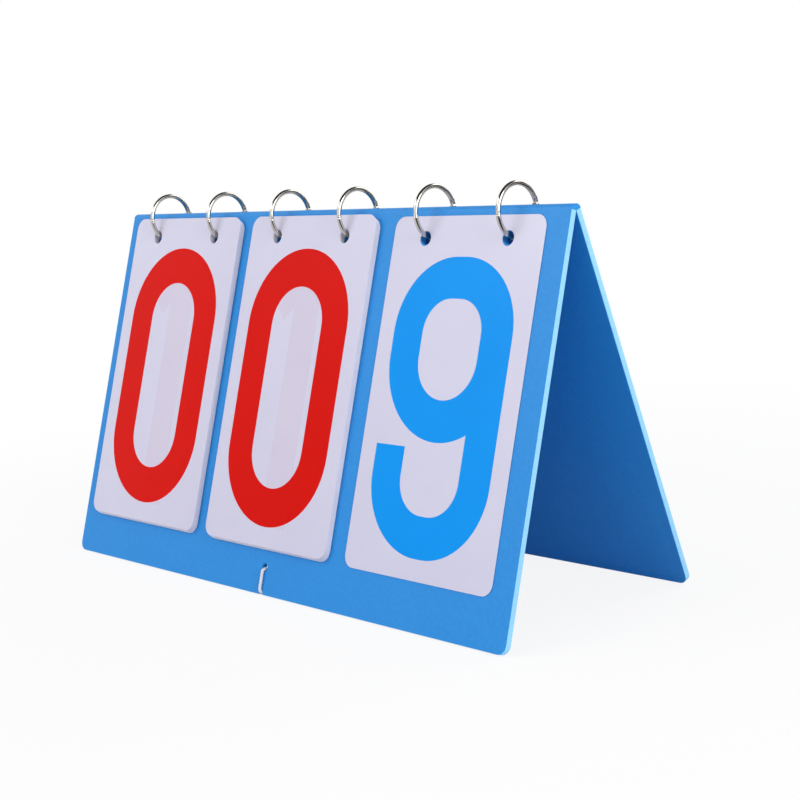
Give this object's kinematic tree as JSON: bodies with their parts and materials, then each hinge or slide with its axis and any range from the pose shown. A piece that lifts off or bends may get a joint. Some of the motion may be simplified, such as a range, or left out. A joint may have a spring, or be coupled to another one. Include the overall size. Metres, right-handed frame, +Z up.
{
  "type": "flip scoreboard",
  "caption": "Tabletop flip scoreboard: a folded sheet stands as a tent and carries sets of number cards on hinged rings, with a tie cord across its foot.",
  "frame": {"origin": "the middle of the footprint, on the surface that it stands on, straight under the fold line", "axes": "+X along the fold line to the right as seen from the front, +Y from the front leaf to the rear leaf, +Z up"},
  "size_m": [0.285, 0.11, 0.1665],
  "materials": {
    "blue_sheet": "semi-matte embossed polypropylene sheet",
    "white_card": "smooth white plastic card with printed numbers",
    "nickel_wire": "polished nickel plate",
    "white_cord": "braided cotton"
  },
  "bodies": {
    "front": {"front_leaf": "blue_sheet", "fold_strip": "blue_sheet", "front_cord_loop": "white_cord", "cord_span": "white_cord", "left_card_1": "white_card", "left_card_2": "white_card", "left_card_3": "white_card", "left_card_4": "white_card", "left_card_5": "white_card", "left_card_6": "white_card", "left_card_7": "white_card", "left_card_8": "white_card", "left_card_9": "white_card", "middle_card_1": "white_card", "middle_card_2": "white_card", "middle_card_3": "white_card", "middle_card_4": "white_card", "middle_card_5": "white_card", "middle_card_6": "white_card", "middle_card_7": "white_card", "middle_card_8": "white_card", "middle_card_9": "white_card"},
    "rear": {"rear_leaf": "blue_sheet", "rear_cord_loop": "white_cord", "right_card_0": "white_card", "right_card_1": "white_card", "right_card_2": "white_card", "right_card_3": "white_card", "right_card_4": "white_card", "right_card_5": "white_card", "right_card_6": "white_card", "right_card_7": "white_card"},
    "left_rings": {"ring_1_lower": "nickel_wire", "ring_1_rivet": "nickel_wire", "ring_2_lower": "nickel_wire", "ring_2_rivet": "nickel_wire"},
    "left_card_0": {"left_card_0": "white_card"},
    "ring_1_gate": {"ring_1_upper": "nickel_wire"},
    "ring_2_gate": {"ring_2_upper": "nickel_wire"},
    "middle_rings": {"ring_3_lower": "nickel_wire", "ring_3_rivet": "nickel_wire", "ring_4_lower": "nickel_wire", "ring_4_rivet": "nickel_wire"},
    "middle_card_0": {"middle_card_0": "white_card"},
    "ring_3_gate": {"ring_3_upper": "nickel_wire"},
    "ring_4_gate": {"ring_4_upper": "nickel_wire"},
    "right_front_ring": {"ring_5_lower": "nickel_wire", "ring_5_rivet": "nickel_wire"},
    "right_card_9": {"right_card_9": "white_card"},
    "ring_5_gate": {"ring_5_upper": "nickel_wire"},
    "right_rear_ring": {"ring_6_lower": "nickel_wire", "ring_6_rivet": "nickel_wire"},
    "right_card_8": {"right_card_8": "white_card"},
    "ring_6_gate": {"ring_6_upper": "nickel_wire"}
  },
  "joints": [
    {"name": "leaf_fold", "type": "hinge", "parent": "front", "child": "rear", "pos_m": [0, 0, 0.15458], "axis": [1, 0, 0], "range_deg": [-33, 0], "deforming": ["cord_span"]},
    {"name": "left_turn", "type": "hinge", "parent": "front", "child": "left_rings", "pos_m": [-0.0923, 0, 0.15498], "axis": [-1, 0, 0], "range_deg": [0, 282.5]},
    {"name": "left_card_0_swing", "type": "hinge", "parent": "left_rings", "child": "left_card_0", "pos_m": [-0.0923, -0.00834, 0.14673], "axis": [-1, 0, 0], "range_deg": [0, 41]},
    {"name": "ring_1_open", "type": "hinge", "parent": "left_rings", "child": "ring_1_gate", "pos_m": [-0.1148, 0.01046, 0.15589], "axis": [1, 0, 0], "range_deg": [-50, 0]},
    {"name": "ring_2_open", "type": "hinge", "parent": "left_rings", "child": "ring_2_gate", "pos_m": [-0.0698, 0.01046, 0.15589], "axis": [1, 0, 0], "range_deg": [-50, 0]},
    {"name": "middle_turn", "type": "hinge", "parent": "front", "child": "middle_rings", "pos_m": [-0.0008, 0, 0.15498], "axis": [-1, 0, 0], "range_deg": [0, 282.5]},
    {"name": "middle_card_0_swing", "type": "hinge", "parent": "middle_rings", "child": "middle_card_0", "pos_m": [-0.0008, -0.00834, 0.14673], "axis": [-1, 0, 0], "range_deg": [0, 41]},
    {"name": "ring_3_open", "type": "hinge", "parent": "middle_rings", "child": "ring_3_gate", "pos_m": [-0.0233, 0.01046, 0.15589], "axis": [1, 0, 0], "range_deg": [-50, 0]},
    {"name": "ring_4_open", "type": "hinge", "parent": "middle_rings", "child": "ring_4_gate", "pos_m": [0.0217, 0.01046, 0.15589], "axis": [1, 0, 0], "range_deg": [-50, 0]},
    {"name": "right_front_turn", "type": "hinge", "parent": "front", "child": "right_front_ring", "pos_m": [0.0682, 0, 0.15498], "axis": [-1, 0, 0], "range_deg": [0, 281.52]},
    {"name": "right_card_9_swing", "type": "hinge", "parent": "right_front_ring", "child": "right_card_9", "pos_m": [0.0907, -0.00616, 0.1453], "axis": [-1, 0, 0], "range_deg": [0, 41.98]},
    {"name": "ring_5_open", "type": "hinge", "parent": "right_front_ring", "child": "ring_5_gate", "pos_m": [0.0682, 0.01046, 0.15589], "axis": [1, 0, 0], "range_deg": [-50, 0]},
    {"name": "right_rear_turn", "type": "hinge", "parent": "front", "child": "right_rear_ring", "pos_m": [0.1132, 0, 0.15498], "axis": [1, 0, 0], "range_deg": [0, 281.33]},
    {"name": "right_card_8_swing", "type": "hinge", "parent": "right_rear_ring", "child": "right_card_8", "pos_m": [0.0907, 0.008, 0.14687], "axis": [1, 0, 0], "range_deg": [0, 42.16]},
    {"name": "ring_6_open", "type": "hinge", "parent": "right_rear_ring", "child": "ring_6_gate", "pos_m": [0.1132, 0.01046, 0.15589], "axis": [1, 0, 0], "range_deg": [-50, 0]}
  ],
  "couplings": [
    {"joint": "left_card_0_swing", "follows": "left_turn", "ratio": 0.14335},
    {"joint": "middle_card_0_swing", "follows": "middle_turn", "ratio": 0.14335},
    {"joint": "right_card_9_swing", "follows": "right_front_turn", "ratio": 0.14735},
    {"joint": "right_card_8_swing", "follows": "right_rear_turn", "ratio": 0.1481}
  ]
}
